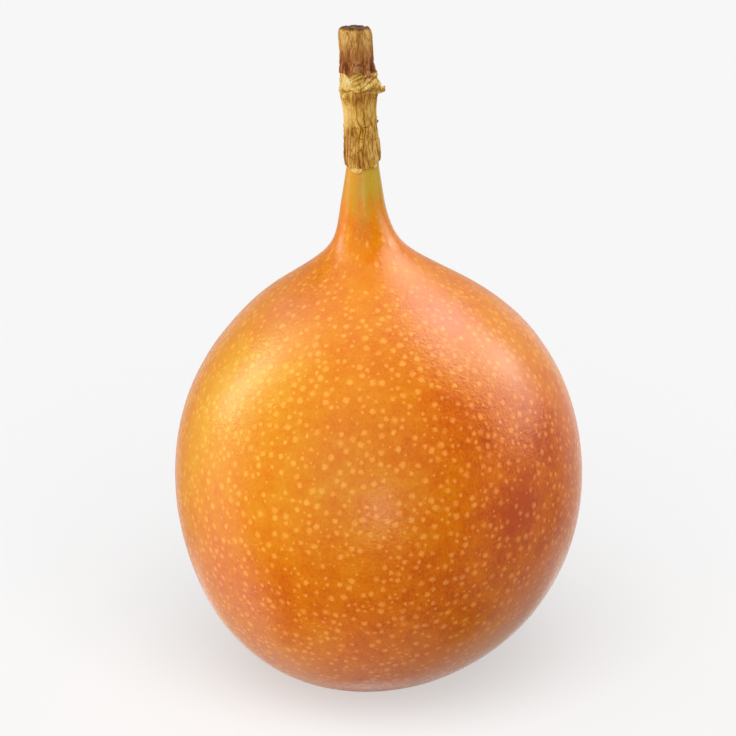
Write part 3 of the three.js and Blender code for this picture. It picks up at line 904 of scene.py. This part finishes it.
# The studio. Each soft box or fill lamp: bearing round the fruit from the front towards the right, height
# above the horizon, width and height as seen from the fruit, all in degrees, and brightness.
BOX_DISTANCE = 4.0
SOFT_BOXES = {
    "left_wall": (262, 4, 30, 110, 1.12),
    "left_high": (252, 24, 12, 30, 4.9),
    "left_back": (240, 5, 16, 100, 0.35),
    "right_wall": (102, 31, 40, 46, 2.4),
    "right_spot": (114, 30, 16, 18, 3.0),
    "right_top": (112, 62, 40, 20, 3.0),
    "right_back": (140, 44, 24, 20, 2.6),
    "ceiling": (180, 75, 90, 36, 0.65),
    "back_left": (215, 0, 40, 60, 0.3),
    "back_right": (145, 0, 40, 60, 0.5),
    "low_left": (215, -45, 50, 34, 0.58),
    "low_right": (145, -45, 50, 34, 0.6),
    "under": (0, -88, 50, 50, 0.33),
    "horizon": (180, -14, 50, 40, 0.5),
    "front_glow": (0, -3, 10, 14, 5.5),
    "right_sheen": (82, -18, 56, 64, 0.4),
    "top_sheen": (298, 58, 60, 44, 0.4),
}
# These show only as reflections, and give no diffuse light.
SHEEN_ONLY = {"right_sheen", "top_sheen"}
FILL_WIDTH = 70
FILL_LAMPS = {
    "front_fill": (355, 18, 0.43),
    "left_fill": (312, 8, 0.38),
    "low_fill": (0, -40, 0.07),
}
FLOOR_LAMPS = {
    "floor_front": (0, 45, 1.38),
    "floor_left": (270, 15, 0.22),
    "floor_top": (0, 80, 0.3),
}
FLOOR_HALF = 3.0
FLOOR_COLOUR, FLOOR_GLOW = 0.3, 0.53
BACKGROUND = (0.93, 0.93, 0.93)

CAMERA_TARGET = Vector((0.75, 0, 51.64)) * MM
CAMERA_DISTANCE, CAMERA_ELEVATION, CAMERA_LENS = 385 * MM, 17, 120


def make_floor():
    corners = [(x * FLOOR_HALF, y * FLOOR_HALF, 0) for x, y in ((-1, -1), (1, -1), (1, 1), (-1, 1))]
    mesh = bpy.data.meshes.new("floor")
    mesh.from_pydata(corners, [], [(0, 1, 2, 3)])
    floor = bpy.data.objects.new("floor", mesh)
    bpy.context.scene.collection.objects.link(floor)
    material = new_material("floor_white")
    tree = material.node_tree
    shader = add(tree, "BsdfPrincipled", {
        "Base Color": (FLOOR_COLOUR, FLOOR_COLOUR, FLOOR_COLOUR, 1), "Roughness": 0.9,
        "Specular IOR Level": 0.0, "Emission Color": (1, 1, 1, 1), "Emission Strength": FLOOR_GLOW,
    })
    add(tree, "OutputMaterial", {"Surface": shader.outputs[0]})
    mesh.materials.append(material)
    floor.visible_diffuse = False
    floor.visible_glossy = False
    floor.visible_shadow = False
    return floor


def bearing(azimuth, elevation):
    """The direction from the fruit at a bearing and a height."""
    a, e = math.radians(azimuth), math.radians(elevation)
    return Vector((math.sin(a) * math.cos(e), -math.cos(a) * math.cos(e), math.sin(e)))


def add_lamp(name, kind, direction):
    lamp = bpy.data.objects.new(name, bpy.data.lights.new(name, kind))
    lamp.location = CAMERA_TARGET + BOX_DISTANCE * direction
    lamp.rotation_euler = direction.to_track_quat("Z", "Y").to_euler()
    lamp.visible_camera = False
    bpy.context.scene.collection.objects.link(lamp)
    return lamp


def add_fill(name, azimuth, elevation, brightness):
    lamp = add_lamp(name, "SUN", bearing(azimuth, elevation))
    lamp.visible_glossy = False
    lamp.data.angle = math.radians(FILL_WIDTH)
    lamp.data.energy = math.pi * brightness
    return lamp


def light_only(lamps, things):
    """Makes the lamps light nothing but the things."""
    group = bpy.data.collections.new("lit_by_" + lamps[0].name)
    for thing in things:
        group.objects.link(thing)
    for lamp in lamps:
        lamp.light_linking.receiver_collection = group


def make_lights(pieces, floor):
    world = bpy.data.worlds.new("room")
    bpy.context.scene.world = world
    world.use_nodes = True
    world.node_tree.nodes["Background"].inputs["Color"].default_value = (*BACKGROUND, 1)
    world.cycles_visibility.diffuse = False
    world.cycles_visibility.glossy = False
    lamps = []
    for name, (azimuth, elevation, width, height, brightness) in SOFT_BOXES.items():
        lamps.append(add_lamp(name, "AREA", bearing(azimuth, elevation)))
        lamps[-1].visible_diffuse = name not in SHEEN_ONLY
        box = lamps[-1].data
        box.shape = "RECTANGLE"
        box.size = 2 * BOX_DISTANCE * math.tan(math.radians(width / 2))
        box.size_y = 2 * BOX_DISTANCE * math.tan(math.radians(height / 2))
        box.energy = math.pi * box.size * box.size_y * brightness
    lamps += [add_fill(name, *values) for name, values in FILL_LAMPS.items()]
    light_only(lamps, pieces)
    light_only([add_fill(name, *values) for name, values in FLOOR_LAMPS.items()], [floor])


def make_camera():
    camera = bpy.data.objects.new("camera", bpy.data.cameras.new("camera"))
    tilt = math.radians(CAMERA_ELEVATION)
    back = Vector((0, -math.cos(tilt), math.sin(tilt)))
    camera.location = CAMERA_TARGET + CAMERA_DISTANCE * back
    camera.rotation_euler = back.to_track_quat("Z", "Y").to_euler()
    camera.data.lens = CAMERA_LENS
    camera.data.sensor_width = 36
    bpy.context.scene.collection.objects.link(camera)
    bpy.context.scene.camera = camera


def dress(piece, material, slot, *nodes):
    piece.data.materials.append(material)
    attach(piece, "root")
    if nodes:
        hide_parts(*nodes)


make_camera()
bpy.context.scene.view_settings.view_transform = "Standard"
rind, bark = make_fruit(), make_stalk()
shreds = make_shreds("torn_bracts", SHREDS, JOINT_R)
flakes = make_shreds("skin_flakes", SKIN_FLAKES, FLAKE_R)
dress(rind, rind_material(), "rind", "fruit")
dress(bark, bark_material(), "bark", "stalk")
dress(shreds, shred_material("straw", JOINT_BARK[:3]), "bark")
dress(flakes, shred_material("lifted_skin", FLAKE_COLOURS), "rind")
make_lights([rind, bark, shreds, flakes], make_floor())
